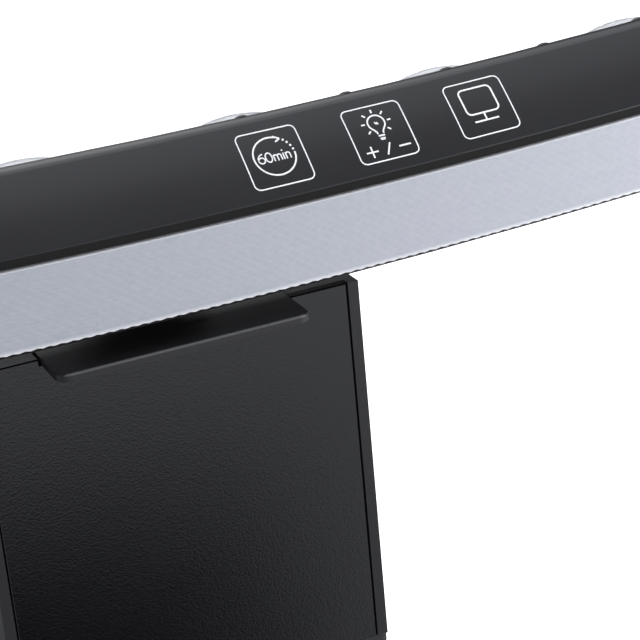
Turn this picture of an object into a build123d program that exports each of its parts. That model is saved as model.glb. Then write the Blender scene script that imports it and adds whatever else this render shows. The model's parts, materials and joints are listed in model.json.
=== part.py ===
"""Monitor light bar: a curved lamp on a tilting neck, held by a hook and a hinged weight box.

Frame: millimetres, +Z up, X along the bar, -Y towards the person at the desk.
The origin is the middle of the hook ledge's underside, where it rests on the monitor's top edge.
Section sketches of the bar are drawn about the tilt axis, x back (+Y) and y up (+Z).
"""
import os
from math import cos, degrees, hypot, radians, sin

from build123d import *

# ---- hook ledge
LEDGE_W = 40.0          # ledge width along X
LEDGE_D = 8.7           # how far the ledge stands out in front of the plate
LEDGE_T = 1.2           # ledge sheet thickness
LEDGE_CORNER_R = 2.0    # plan radius of the two front corners
LEDGE_EDGE_R = 0.24     # rounded top edge
LEDGE_RISE = 0.26       # ledge top above the top of the weight box
PAD_T = 0.5             # silicone grip pad let into the underside
PAD_MARGIN = 1.5        # sheet left around the pad

# ---- weight box
BOX_W = 63.6
BOX_H = 63.2
BOX_D = 24.0
BOX_WALL = 1.8          # side, back and bottom walls
BOX_TOP_WALL = 3.0      # thicker, because the hook lies in a recess in it
PLATE_T = 1.6           # front plate
PLATE_CHAMFER = 0.2
SEAM = 0.2              # open seam each side of the front plate
RECESS_GAP = 0.2        # hook sheet to its recess, below
RECESS_SIDE_GAP = 0.4   # hook sheet to its recess, at the sides
WEIGHT_W = 54.0
WEIGHT_H = 44.0
WEIGHT_T = 14.0
WEIGHT_R = 1.5          # rounded upright edges of the weight
WEIGHT_SCREW_IN = 6.0   # screws in from the weight's sides
BOSS_R = 4.0            # bosses between the back wall and the weight
TAPE_T = 0.3            # adhesive between plate and weight
TAPE_MARGIN = 3.0
BUMPER_H = 3.4          # rubber bumper under the box
BUMPER_PROUD = 0.5      # how far it stands out past the box's sides
BUMPER_R = 1.5
BUMPER_FRONT_GAP = 0.6  # set back from the box's front
BUMPER_BACK_GAP = 1.0

# ---- box hinge
HINGE_PIN_R = 1.5
HINGE_R = 3.5           # hook knuckle
HINGE_SKIN = 0.1        # lugs stand this much past the knuckle
HINGE_WEB_T = 3.0       # web from the hook sheet down to the knuckle
HINGE_KNUCKLE_W = 12.0
HINGE_SLOT_W = 26.0     # slot in the box for knuckle and springs
HINGE_GAP = 0.3
SLOT_WALL = 1.2         # walls round the slot inside the box
LUG_W = 6.0             # pin support each side of the slot
PIN_END_WALL = 1.0      # lug left past each end of the hinge pin
PIN_END_GAP = 0.1
PIN_RUN = 0.05          # radial running clearance of both pins
SPRING_WIRE_R = 0.4
SPRING_R = 2.1          # mean coil radius
SPRING_TURNS = 5
SPRING_PITCH = 1.05
SPRING_GAP = 0.4        # knuckle to the first coil

# ---- bar: overall
BAR_LENGTH = 500.0      # along the curve, end cap to end cap
BAR_BEND_R = 1080.0     # bend radius, measured at the tilt axis
BEND_RISE = 59.0        # elevation of the hollow side's direction, degrees
END_CAP_T = 3.0
END_CAP_R = 0.8         # rounded outer edge of the end caps
WALL = 1.8

# ---- bar: section, about the tilt axis
NOSE = (-9.6, 3.9)      # lower edge of the touch face
FACE_SLOPE = 42.0       # touch face above horizontal
FACE_BULGE = 0.4        # crown of the touch face
STRIP_LEAN = 10.5       # diffuser's lean back from vertical
STRIP_W = 13.6
GROOVE_W = 1.5
GROOVE_DEPTH = 0.9
LIP_W = 1.4             # dark lip behind the diffuser's lower edge
LIP_SLOPE = -28.0
BOTTOM_W = 9.8
BOTTOM_SLOPE = 3.0
REAR_LOW = (8.3, -6.5)
REAR_TOP = (9.2, 8.1)   # lower edge of the backlight lens
LENS_SLOPE = 45.0
LENS_W = 6.5
CREST_R = 2.8
REAR_R = 2.0
NOSE_R = 0.2

# ---- bar: lights and electronics
DIFFUSER_T = 1.4
LENS_T = 1.2
LENS_LEG_H = 3.3
LENS_LEG_T = 0.8
LENS_LEG_LOW = 2.0      # lower leg, from the lens's lower edge
LENS_LEG_HIGH = 1.1     # upper leg, from the lens's upper edge
DOME_PITCH = 34.0
DOME_HALF = (8.6, 2.9, 3.4)     # half sizes along the bar, across the lens, and height
DOME_MARGIN = 0.1               # flat left each side of the domes
DOMES_PER_SIDE = 7
LED_PITCH = 12.0
LED_SIZE = (2.8, 1.4, 0.8)      # along, across, height
BOARD_T = 0.8
FRONT_BOARD_AT = (8.3, 13.0)    # along the strip, from its top edge
FRONT_BOARD_DEPTH = 5.0
REFLECTOR_T = 0.4
REFLECTOR_GAP = 0.1     # reflector to the diffuser and to the board
RAIL_T = 1.2
RAIL_TOP = 0.4          # rail's upper edge below the diffuser's
RAIL_FOOT_W = 4.0
RAIL_BOSS_R = 1.7
RAIL_BOSS_L = 5.5       # round screw bosses on each rail's outer end
BOARD_END = 6.0         # boards and reflector stop short of the end caps
ICON_FIRST = 18.7               # first touch symbol from the middle of the bar
ICON_PITCH = 17.4
ICON_COUNT = 3
ICON_ALONG = 8.85               # icon row below the crest corner, along the face
TOUCH_PAD_W = 6.4
TOUCH_PAD_T = 1.0
TOUCH_BOARD_AT = (6.0, 13.0)
DRIVER_X = (42.0, 122.0)
DRIVER_AT = (1.0, 9.6)
DRIVER_PARTS = (                # place along the bar, half width, span down the board, height
    (52.0, 4.0, (3.0, 9.0), 2.6),
    (63.0, 3.0, (3.5, 8.5), 1.2),
    (74.0, 5.0, (3.0, 9.0), 2.2),
    (86.0, 2.5, (4.0, 8.0), 1.0),
    (95.0, 2.0, (4.0, 8.0), 1.0),
)
STANDOFF_IN = 5.0               # standoffs in from the driver board's ends
STANDOFF_H = 1.2
STANDOFF_R = 1.6
USB_X = 112.0
USB_W = 9.0
USB_H = 3.3
USB_WALL = 0.3
USB_BASE_T = 1.0
USB_TONGUE = (6.0, 7.5, 0.7)
USB_TONGUE_IN = 0.35            # tongue's tip in from the bar's back
PLUG_FIRST = 17.05              # first domed plug on the back of the ridge
PLUG_R = 1.3
PLUG_H = 0.45
PLUG_SUNK = 0.05
PLUG_LEAN = 18.0                # from the lens's outward direction towards the crest
PLUG_COUNT = 7

# ---- tilt joint
TILT_DOWN = 50.0        # diffuser towards the desk, degrees from rest
TILT_UP = 10.0
TILT_PIN_R = 1.5
HEAD_R = 3.5            # neck head
WASHER_INSET = 0.1      # washers this much smaller than the head
HEAD_W = 18.0
ARM_T = 5.0
NECK_W = 19.0
NECK_POST_T = 5.0
NECK_BEND_R = 4.0
NECK_FOOT_T = 2.5
NECK_FOOT_D = 9.0
WASHER_T = 0.5
POCKET_GAP = 0.3
POCKET_WALL = 1.0
POCKET_SPACE = 0.2      # pocket wall to the rails
AXIS_BACK = 1.0         # tilt axis behind the plate's front
BAR_TO_LEDGE = 1.45      # least gap between the turning bar and the ledge
BAR_TO_POST = 1.2
PIVOT_BLOCK_W = 6.0
PIVOT_BLOCK_AT = (1.2, 7.2)
PIVOT_BLOCK_BACK = 11.5
PIVOT_BLOCK_GAP = 0.05

# ---- screws: shank radius, length, head radius, head height
BOX_SCREW = (1.5, 9.0, 2.75, 1.2)
NECK_SCREW = (1.1, 3.0, 2.0, 0.8)
CAP_SCREW = (0.9, 7.0, 1.7, 0.8)
COVER_SCREW = (0.9, 4.6, 1.6, 0.6)
COVER_SCREW_X = (-200.0, -120.0, -40.0, 40.0, 120.0, 200.0)
COVER_SCREW_EDGE = 0.6  # rail foot left past the screw
CAP_SCREW_AT = 2.6      # upper cap screw, down the rail
BOX_SCREW_PROUD = 0.2

# ---- modelling margins
CUT = 1.0               # how far a cut runs past the face it opens
JOIN = 0.1              # overlap of two blocks of one piece

# ---- places that follow from the sizes above
PLATE_Y = LEDGE_D / 2
BOX_TOP = LEDGE_T - LEDGE_RISE
BOX_BACK = PLATE_Y + BOX_D
HINGE_Y = BOX_BACK - HINGE_R - HINGE_SKIN
HINGE_Z = BOX_TOP - HINGE_R - HINGE_SKIN


def polar(length, angle):
    """The vector of a length and an angle in degrees."""
    return (length * cos(radians(angle)), length * sin(radians(angle)))


def shifted(point, length, angle):
    """A point moved by a length along an angle."""
    step = polar(length, angle)
    return (point[0] + step[0], point[1] + step[1])


STRIP_ANGLE = STRIP_LEAN - 90.0
FACE_ANGLE = 180.0 + FACE_SLOPE
LENS_ANGLE = 180.0 - LENS_SLOPE
STRIP_TOP = shifted(NOSE, GROOVE_W, STRIP_ANGLE)
STRIP_LOW = shifted(STRIP_TOP, STRIP_W, STRIP_ANGLE)
LIP_LOW = shifted(STRIP_LOW, LIP_W, LIP_SLOPE)
BOTTOM_REAR = shifted(LIP_LOW, BOTTOM_W, BOTTOM_SLOPE)


def crest_corner():
    """Where the touch face and the lens plane would meet without the rounded crest."""
    gap_x = REAR_TOP[0] - NOSE[0]
    gap_y = REAR_TOP[1] - NOSE[1]
    a, b = radians(FACE_SLOPE), radians(LENS_SLOPE)
    along = (gap_x * sin(b) + gap_y * cos(b)) / sin(a + b)
    return shifted(NOSE, along, FACE_SLOPE)


CREST = crest_corner()
LOW_REACH = max(hypot(*LIP_LOW), hypot(*STRIP_LOW))
REAR_REACH = max(hypot(*CREST) - CREST_R / 3, hypot(*REAR_TOP), LOW_REACH)
AXIS_Y = PLATE_Y + AXIS_BACK
AXIS_Z = LEDGE_T + LOW_REACH + BAR_TO_LEDGE
POST_Y = AXIS_Y + REAR_REACH + BAR_TO_POST
SECTION = Plane(origin=(0, AXIS_Y, AXIS_Z), x_dir=(0, 1, 0), z_dir=(1, 0, 0))
BEND_AXIS = Axis(
    (0, AXIS_Y - BAR_BEND_R * cos(radians(BEND_RISE)), AXIS_Z + BAR_BEND_R * sin(radians(BEND_RISE))),
    (0, -sin(radians(BEND_RISE)), -cos(radians(BEND_RISE))),
)
POCKET_HALF_W = HEAD_W / 2 + WASHER_T + POCKET_GAP
RAIL_START = POCKET_HALF_W + POCKET_WALL + POCKET_SPACE


# ---- helpers
def along_bar(shape, distance):
    """A shape drawn at X = 0, carried along the bar's curve."""
    return shape.rotate(BEND_AXIS, degrees(distance / BAR_BEND_R))


def bent(face, start, end):
    """A section swept along the bar's curve from one distance to another."""
    swept = revolve(SECTION * face, axis=BEND_AXIS, revolution_arc=degrees((end - start) / BAR_BEND_R))
    return along_bar(swept, start)


def slab(at, angle, along, depth):
    """A section rectangle: from a point along an angle, and to the left of that direction."""
    place = Pos(*at) * Rot(Z=angle) * Pos((along[0] + along[1]) / 2, (depth[0] + depth[1]) / 2)
    return place * Rectangle(along[1] - along[0], depth[1] - depth[0])


def strip_slab(along, depth):
    """A rectangle in the diffuser's frame: down from its top edge, and inwards."""
    return slab(STRIP_TOP, STRIP_ANGLE, along, depth)


def lens_slab(along, depth):
    """A rectangle in the backlight lens's frame: up from its lower edge, and inwards."""
    return slab(REAR_TOP, LENS_ANGLE, along, depth)


def face_slab(along, depth):
    """A rectangle in the touch face's frame: down from the crest corner, and inwards."""
    return slab(CREST, FACE_ANGLE, along, depth)


def x_slice(face, start, end):
    """A section pushed straight along X, for the short pieces at the middle of the bar."""
    return Pos(X=start) * extrude(SECTION * face, amount=end - start)


def mirrored(shape):
    """A shape and its mirror image across X = 0."""
    return [shape, mirror(shape, about=Plane.YZ)]


def rod_x(radius, start, end, y, z):
    """A round rod along X."""
    return Pos((start + end) / 2, y, z) * Rot(Y=90) * Cylinder(radius, end - start)


def block(x, y, z):
    """A box from its lowest and highest value on each axis."""
    centre = Pos((x[0] + x[1]) / 2, (y[0] + y[1]) / 2, (z[0] + z[1]) / 2)
    return centre * Box(x[1] - x[0], y[1] - y[0], z[1] - z[0])


def screw(size, hole=False):
    """A pan-head screw pointing down, its head's underside at the origin, or the hole it fills."""
    shank_r, length, head_r, head_h = size
    head = Pos(Z=head_h / 2) * Cylinder(head_r, head_h)
    shank = Pos(Z=-length / 2) * Cylinder(shank_r, length)
    if hole:
        return head + shank
    drive = Pos(Z=head_h) * Box(head_r, head_r / 4, head_h)
    cross = Pos(Z=head_h) * Box(head_r / 4, head_r, head_h)
    return head + shank - drive - cross


# ---- bar section
def outline():
    """The outer outline of the bar's section."""
    middle = shifted(NOSE, hypot(CREST[0] - NOSE[0], CREST[1] - NOSE[1]) / 2, FACE_SLOPE)
    crown = shifted(middle, FACE_BULGE, FACE_SLOPE + 90)
    edges = [
        ThreePointArc(NOSE, crown, CREST),
        Line(CREST, REAR_TOP),
        Line(REAR_TOP, REAR_LOW),
        Line(REAR_LOW, BOTTOM_REAR),
        Line(BOTTOM_REAR, LIP_LOW),
        Line(LIP_LOW, STRIP_LOW),
        Line(STRIP_LOW, NOSE),
    ]
    face = make_face(edges)
    corners = ((CREST, CREST_R), (REAR_LOW, REAR_R), (BOTTOM_REAR, REAR_R), (LIP_LOW, NOSE_R))
    for point, radius in corners:
        face = fillet(face.vertices().sort_by_distance((point[0], point[1], 0))[:1], radius)
    return face


OUTLINE = outline()
WALL_RING = OUTLINE - offset(OUTLINE, amount=-WALL)


def shell_sections():
    """The wall ring cut at the diffuser and at the backlight lens: front housing, rear cover."""
    strip_gap = strip_slab((0, STRIP_W), (-WALL, 2 * WALL))
    lens_gap = lens_slab((0, LENS_W), (-WALL, 2 * WALL))
    parts = (WALL_RING - strip_gap - lens_gap).faces().sort_by(Axis.Y)
    groove = slab(NOSE, STRIP_ANGLE, (0, GROOVE_W), (-WALL, GROOVE_DEPTH))
    housing = Sketch() + parts[-1] - groove
    nose = housing.vertices().sort_by_distance((NOSE[0], NOSE[1], 0))[:1]
    return fillet(nose, NOSE_R), Sketch() + parts[0]


HOUSING_SECTION, COVER_SECTION = shell_sections()
HALF = BAR_LENGTH / 2
INNER_HALF = HALF - END_CAP_T
BOARD_HALF = INNER_HALF - BOARD_END


def pocket(extra):
    """The fan that the neck's arm sweeps through the bar, grown by a wall."""
    reach = 3 * REAR_REACH
    middle = polar(2 * reach, (TILT_UP - TILT_DOWN) / 2)
    fan = make_face(Polyline(
        (0, 0), polar(reach, -TILT_DOWN), middle, polar(reach, TILT_UP), close=True))
    grown = offset(fan, amount=ARM_T / 2 + POCKET_GAP + extra, kind=Kind.ARC)
    room = grown + Circle(HEAD_R + POCKET_GAP + extra)
    half = POCKET_HALF_W + extra
    return x_slice(room, -half, half)


# ---- lamp bar pieces
def bar_housing():
    """Front shell: touch face, crest and the groove above the diffuser."""
    return bent(HOUSING_SECTION, -INNER_HALF, INNER_HALF)


def usb_hole(grow):
    """The rounded opening of the power inlet, as a solid along Y."""
    shape = RectangleRounded(USB_W + 2 * grow, USB_H + 2 * grow, (USB_H + 2 * grow) / 2 - 0.01)
    start = Plane(origin=(0, AXIS_Y, AXIS_Z), x_dir=(1, 0, 0), z_dir=(0, 1, 0))
    return extrude(start * shape, amount=3 * REAR_TOP[0])


def rear_cover():
    """Rear shell with the neck pocket's walls, the inlet opening and the screw holes."""
    near = bent(OUTLINE, -2 * POCKET_HALF_W, 2 * POCKET_HALF_W)
    shell = bent(COVER_SECTION, -INNER_HALF, INNER_HALF)
    shell += pocket(POCKET_WALL) & near
    shell -= pocket(0)
    shell -= rod_x(TILT_PIN_R + 4 * PIN_RUN, -2 * POCKET_HALF_W, 2 * POCKET_HALF_W, AXIS_Y, AXIS_Z)
    shell -= along_bar(usb_hole(PIN_RUN), USB_X)
    for item in cover_screws(hole=True):
        shell -= item
    return shell


def front_diffuser():
    """The long prismatic strip under the groove."""
    return bent(strip_slab((0, STRIP_W), (0, DIFFUSER_T)), -INNER_HALF, INNER_HALF)


def backlight_lens():
    """Clear strip behind the crest with one low dome over each rear LED and two board legs."""
    legs_at = (LENS_LEG_LOW, LENS_W - LENS_LEG_HIGH - LENS_LEG_T)
    section = lens_slab((0, LENS_W), (0, LENS_T))
    for start in legs_at:
        section += lens_slab((start, start + LENS_LEG_T), (LENS_T, LENS_T + LENS_LEG_H))
    strip = bent(section, -INNER_HALF, INNER_HALF)
    centre = shifted(shifted(REAR_TOP, LENS_W / 2, LENS_ANGLE), LENS_T / 2, LENS_ANGLE + 90)
    ball = scale(Sphere(1), by=DOME_HALF)
    dome = Pos(0, AXIS_Y + centre[0], AXIS_Z + centre[1]) * Rot(X=-LENS_SLOPE) * ball
    trim = lens_slab((DOME_MARGIN, LENS_W - DOME_MARGIN), (-2 * DOME_HALF[2], LENS_T / 2))
    dome = dome & bent(trim, -DOME_PITCH / 2, DOME_PITCH / 2)
    for place in dome_places():
        strip += along_bar(dome, place)
    return strip


def dome_places():
    """Distances along the bar of the domes and of the LEDs behind them."""
    right = [DOME_PITCH * (index + 0.5) for index in range(DOMES_PER_SIDE)]
    return [-place for place in reversed(right)] + right


def rear_led_board():
    """Narrow circuit board on the lens legs."""
    depth = LENS_T + LENS_LEG_H
    section = lens_slab((LENS_LEG_LOW, LENS_W - LENS_LEG_HIGH), (depth, depth + BOARD_T))
    return bent(section, -BOARD_HALF, BOARD_HALF)


def led(frame, along, depth):
    """One LED chip standing on a board of the section, its light side outwards."""
    width, across, height = LED_SIZE
    face = frame((along - across / 2, along + across / 2), (depth - height, depth))
    return bent(face, -width / 2, width / 2)


def rear_leds():
    """One LED behind each dome."""
    middle = (LENS_LEG_LOW + LENS_W - LENS_LEG_HIGH) / 2
    chip = led(lens_slab, middle, LENS_T + LENS_LEG_H)
    return [along_bar(chip, place) for place in dome_places()]


def front_led_board():
    """Circuit board that lights the diffuser from its lower half, clear of the neck pocket."""
    depth = (FRONT_BOARD_DEPTH, FRONT_BOARD_DEPTH + BOARD_T)
    return bent(strip_slab(FRONT_BOARD_AT, depth), -BOARD_HALF, BOARD_HALF) - pocket(POCKET_WALL + REFLECTOR_GAP)


def front_leds():
    """The row of white LEDs on the front board."""
    middle = (FRONT_BOARD_AT[0] + FRONT_BOARD_AT[1]) / 2
    chip = led(strip_slab, middle, FRONT_BOARD_DEPTH)
    count = int((BOARD_HALF - LED_SIZE[0]) / LED_PITCH)
    return [along_bar(chip, LED_PITCH * index) for index in range(-count, count + 1)]


def front_reflector():
    """White sheet from the top of the diffuser to the LED board, clear of the neck pocket."""
    top = 2 * REFLECTOR_GAP
    low = FRONT_BOARD_AT[0] - REFLECTOR_GAP
    front = DIFFUSER_T + REFLECTOR_GAP
    sheet = make_face(Polyline(
        (top, front), (low, FRONT_BOARD_DEPTH - REFLECTOR_T),
        (low, FRONT_BOARD_DEPTH), (top, front + REFLECTOR_T), close=True))
    sheet = Pos(*STRIP_TOP) * Rot(Z=STRIP_ANGLE) * sheet
    return bent(sheet, -BOARD_HALF, BOARD_HALF) - pocket(POCKET_WALL + REFLECTOR_GAP)


RAIL_DEPTH = FRONT_BOARD_DEPTH + BOARD_T


def chassis_rails():
    """Aluminium rail behind the LED board, one each side of the neck pocket."""
    section = strip_slab((RAIL_TOP, FRONT_BOARD_AT[1]), (RAIL_DEPTH, RAIL_DEPTH + RAIL_T))
    foot = (FRONT_BOARD_AT[1] - RAIL_T, FRONT_BOARD_AT[1])
    section += strip_slab(foot, (RAIL_DEPTH, RAIL_DEPTH + RAIL_FOOT_W))
    right = bent(section, RAIL_START, INNER_HALF)
    for spot in cap_screw_spots():
        right += bent(Pos(*spot) * Circle(RAIL_BOSS_R), INNER_HALF - RAIL_BOSS_L, INNER_HALF)
    for item in end_cap_screws(hole=True) + cover_screws(hole=True):
        right -= item
    return mirrored(right)


def pivot_blocks():
    """Bearing block for the tilt pin on the end of each rail."""
    section = strip_slab(PIVOT_BLOCK_AT, (RAIL_DEPTH + RAIL_T + PIVOT_BLOCK_GAP, PIVOT_BLOCK_BACK))
    solid = x_slice(section, RAIL_START, RAIL_START + PIVOT_BLOCK_W)
    solid -= rod_x(TILT_PIN_R + PIN_RUN, 0, 3 * RAIL_START, AXIS_Y, AXIS_Z)
    return mirrored(solid)


def touch_board():
    """Circuit board under the three touch symbols."""
    depth = WALL + TOUCH_PAD_T
    start = ICON_FIRST - ICON_PITCH / 2
    return bent(face_slab(TOUCH_BOARD_AT, (depth, depth + BOARD_T)), start, start + ICON_PITCH * ICON_COUNT)


def touch_pads():
    """Square sensing pad between the touch board and the face, one for each symbol."""
    half = TOUCH_PAD_W / 2
    pad = bent(face_slab((ICON_ALONG - half, ICON_ALONG + half), (WALL, WALL + TOUCH_PAD_T)), -half, half)
    return [along_bar(pad, ICON_FIRST + ICON_PITCH * index) for index in range(ICON_COUNT)]


DRIVER_DEPTH = RAIL_DEPTH + RAIL_T + STANDOFF_H


def driver_board():
    """Power and dimming circuit board behind the right-hand rail."""
    return bent(strip_slab(DRIVER_AT, (DRIVER_DEPTH, DRIVER_DEPTH + BOARD_T)), *DRIVER_X)


def board_standoffs():
    """Spacers that hold the driver board off the rail."""
    middle = (DRIVER_AT[0] + DRIVER_AT[1]) / 2
    height = (DRIVER_DEPTH - STANDOFF_H, DRIVER_DEPTH)
    face = strip_slab((middle - STANDOFF_R, middle + STANDOFF_R), height)
    post = x_slice(face, -STANDOFF_R, STANDOFF_R)
    return [along_bar(post, DRIVER_X[0] + STANDOFF_IN), along_bar(post, DRIVER_X[1] - STANDOFF_IN)]


def driver_parts():
    """Inductor, capacitor and chips on the driver board."""
    top = DRIVER_DEPTH + BOARD_T
    parts = []
    for place, half_width, along, height in DRIVER_PARTS:
        solid = x_slice(strip_slab(along, (top, top + height)), -half_width, half_width)
        parts.append(along_bar(solid, place))
    return parts


def usb_socket():
    """Power inlet: a thin oval shell with a tongue, standing on the driver board."""
    outer = usb_hole(0)
    inner = usb_hole(-USB_WALL)
    board_back = DRIVER_DEPTH + BOARD_T
    keep = x_slice(strip_slab((-STRIP_W, STRIP_W), (board_back, 3 * STRIP_W)) & OUTLINE, -USB_W, USB_W)
    base = x_slice(strip_slab((-STRIP_W, STRIP_W), (board_back, board_back + USB_BASE_T)), -USB_W, USB_W)
    tip = AXIS_Y + REAR_LOW[0] - USB_TONGUE_IN
    tongue = Pos(0, tip - USB_TONGUE[1] / 2, AXIS_Z) * Box(*USB_TONGUE)
    socket = (outer & keep) - inner + (outer & base) + (tongue & keep)
    return along_bar(socket, USB_X)


def ridge_plugs():
    """Low domed plugs along the back of the crest, on the right-hand half."""
    angle = 90.0 - LENS_SLOPE + PLUG_LEAN
    turn = radians((FACE_SLOPE + LENS_SLOPE) / 2)
    middle = shifted(CREST, CREST_R / cos(turn), -90.0 + (FACE_SLOPE - LENS_SLOPE) / 2)
    seat = shifted(middle, CREST_R - PLUG_SUNK, angle)
    cap_r = (PLUG_R ** 2 + PLUG_H ** 2) / (2 * PLUG_H)
    ball = Pos(Z=PLUG_H - cap_r) * Sphere(cap_r)
    dome = ball & (Pos(Z=PLUG_H / 2) * Box(4 * PLUG_R, 4 * PLUG_R, PLUG_H))
    dome = Pos(0, AXIS_Y + seat[0], AXIS_Z + seat[1]) * Rot(X=angle - 90.0) * dome
    return [along_bar(dome, PLUG_FIRST + ICON_PITCH * index) - HOUSING for index in range(PLUG_COUNT)]


def end_cap():
    """Right-hand end cap, with its screw holes."""
    cap = bent(OUTLINE, INNER_HALF, HALF)
    outer = cap.faces().sort_by(Axis.X)[-1]
    cap = fillet(outer.edges(), END_CAP_R)
    for item in end_cap_screws(hole=True):
        cap -= item
    return cap


def cap_screw_spots():
    """Section points of the two screws in each end cap, on the back face of the rail."""
    depth = RAIL_DEPTH + RAIL_T
    places = (CAP_SCREW_AT, FRONT_BOARD_AT[1] - RAIL_BOSS_R)
    starts = [shifted(STRIP_TOP, along, STRIP_ANGLE) for along in places]
    return [shifted(start, depth, STRIP_ANGLE + 90) for start in starts]


def end_cap_screws(hole=False):
    """Two screws through the right-hand end cap into the rail."""
    items = []
    for spot in cap_screw_spots():
        head_h = CAP_SCREW[3]
        place = Pos(-head_h, AXIS_Y + spot[0], AXIS_Z + spot[1]) * Rot(Y=90)
        items.append(along_bar(place * screw(CAP_SCREW, hole), HALF))
    return items


def cover_screws(hole=False):
    """Screws up through the rear cover's bottom wall into the rails' feet."""
    items = []
    depth = RAIL_DEPTH + RAIL_FOOT_W - COVER_SCREW[0] - COVER_SCREW_EDGE
    spot = shifted(STRIP_TOP, depth, STRIP_ANGLE + 90)
    reach = (LIP_LOW[1] - spot[1]) / sin(radians(STRIP_ANGLE))
    seat = shifted(spot, reach - WALL / 2 - COVER_SCREW[3], STRIP_ANGLE)
    place = Pos(0, AXIS_Y + seat[0], AXIS_Z + seat[1]) * Rot(X=STRIP_ANGLE - 90)
    for distance in COVER_SCREW_X:
        items.append(along_bar(place * screw(COVER_SCREW, hole), distance))
    return items


# ---- tilt joint pieces
def neck():
    """Post and arm of the neck with the round head that turns on the tilt pin."""
    post_back = POST_Y + NECK_POST_T - AXIS_Y
    post_front = POST_Y - AXIS_Y
    foot_top = LEDGE_T + NECK_FOOT_T - AXIS_Z
    base = LEDGE_T - AXIS_Z
    foot_front = post_front - NECK_FOOT_D
    profile = make_face(Polyline(
        (0, ARM_T / 2), (post_back, ARM_T / 2), (post_back, base), (foot_front, base),
        (foot_front, foot_top), (post_front, foot_top), (post_front, -ARM_T / 2), (0, -ARM_T / 2),
        close=True))
    corner = profile.vertices().sort_by_distance((post_back, ARM_T / 2, 0))[:1]
    profile = fillet(corner, NECK_BEND_R)
    inside = profile.vertices().sort_by_distance((post_front, -ARM_T / 2, 0))[:1]
    profile = fillet(inside, NECK_BEND_R / 4)
    half = HEAD_W / 2
    solid = x_slice(profile, -half, half) + rod_x(HEAD_R, -half, half, AXIS_Y, AXIS_Z)
    solid -= rod_x(TILT_PIN_R, -NECK_W, NECK_W, AXIS_Y, AXIS_Z)
    for item in neck_screws(hole=True):
        solid -= item
    return solid


def neck_screws(hole=False):
    """Two screws down through the neck's foot into the hook sheet."""
    y = POST_Y - NECK_FOOT_D / 2
    z = LEDGE_T + NECK_FOOT_T - NECK_SCREW[3]
    item = Pos(HEAD_W / 4, y, z) * screw(NECK_SCREW, hole)
    return mirrored(item)


def tilt_pin():
    """Steel pin through the neck's head and both bearing blocks."""
    reach = RAIL_START + PIVOT_BLOCK_W
    return rod_x(TILT_PIN_R, -reach, reach, AXIS_Y, AXIS_Z)


def friction_washers():
    """Washers between the neck's head and the pocket's side walls."""
    start = HEAD_W / 2
    ring = rod_x(HEAD_R - WASHER_INSET, start, start + WASHER_T, AXIS_Y, AXIS_Z)
    ring -= rod_x(TILT_PIN_R, 0, 2 * start, AXIS_Y, AXIS_Z)
    return mirrored(ring)


# ---- hook
def ledge_plan(grow):
    """Plan of the ledge in front of the plate, grown or shrunk at its three free sides."""
    width = LEDGE_W + 2 * grow
    depth = LEDGE_D + 2 * grow
    plan = Rectangle(width, depth)
    front = plan.vertices().sort_by(Axis.Y)[:2]
    return fillet(front, LEDGE_CORNER_R + grow)


def hook_plate():
    """Sheet hook: ledge over the monitor's edge, tongue over the box, and hinge knuckle."""
    ledge = extrude(ledge_plan(0), amount=LEDGE_T)
    top_edges = ledge.edges().group_by(Axis.Z)[-1].filter_by(lambda e: e.center().Y < PLATE_Y - JOIN)
    ledge = fillet(top_edges, LEDGE_EDGE_R)
    wide_back = HINGE_Y - HINGE_R - CUT
    sheet = ledge + block((-LEDGE_W / 2, LEDGE_W / 2), (PLATE_Y - JOIN, wide_back), (0, LEDGE_T))
    sheet += block((-HEAD_W / 2, HEAD_W / 2), (wide_back - JOIN, POST_Y + NECK_POST_T), (0, LEDGE_T))
    half = HINGE_KNUCKLE_W / 2
    web_y = (HINGE_Y - HINGE_WEB_T / 2, HINGE_Y + HINGE_WEB_T / 2)
    sheet += rod_x(HINGE_R, -half, half, HINGE_Y, HINGE_Z)
    sheet += block((-half, half), web_y, (HINGE_Z, LEDGE_T / 2))
    sheet -= rod_x(HINGE_PIN_R, -BOX_W, BOX_W, HINGE_Y, HINGE_Z)
    sheet -= grip_pad()
    for item in neck_screws(hole=True):
        sheet -= item
    return sheet


def grip_pad():
    """Silicone pad let into the ledge's underside, flush with it."""
    return extrude(ledge_plan(-PAD_MARGIN), amount=PAD_T)


# ---- weight box pieces
def tongue_recess(grow):
    """Room for the hook sheet in the top of the box."""
    half = LEDGE_W / 2 + RECESS_SIDE_GAP + grow
    return block((-half, half), (PLATE_Y - CUT, BOX_BACK + CUT), (-RECESS_GAP, BOX_TOP + CUT))


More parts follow.
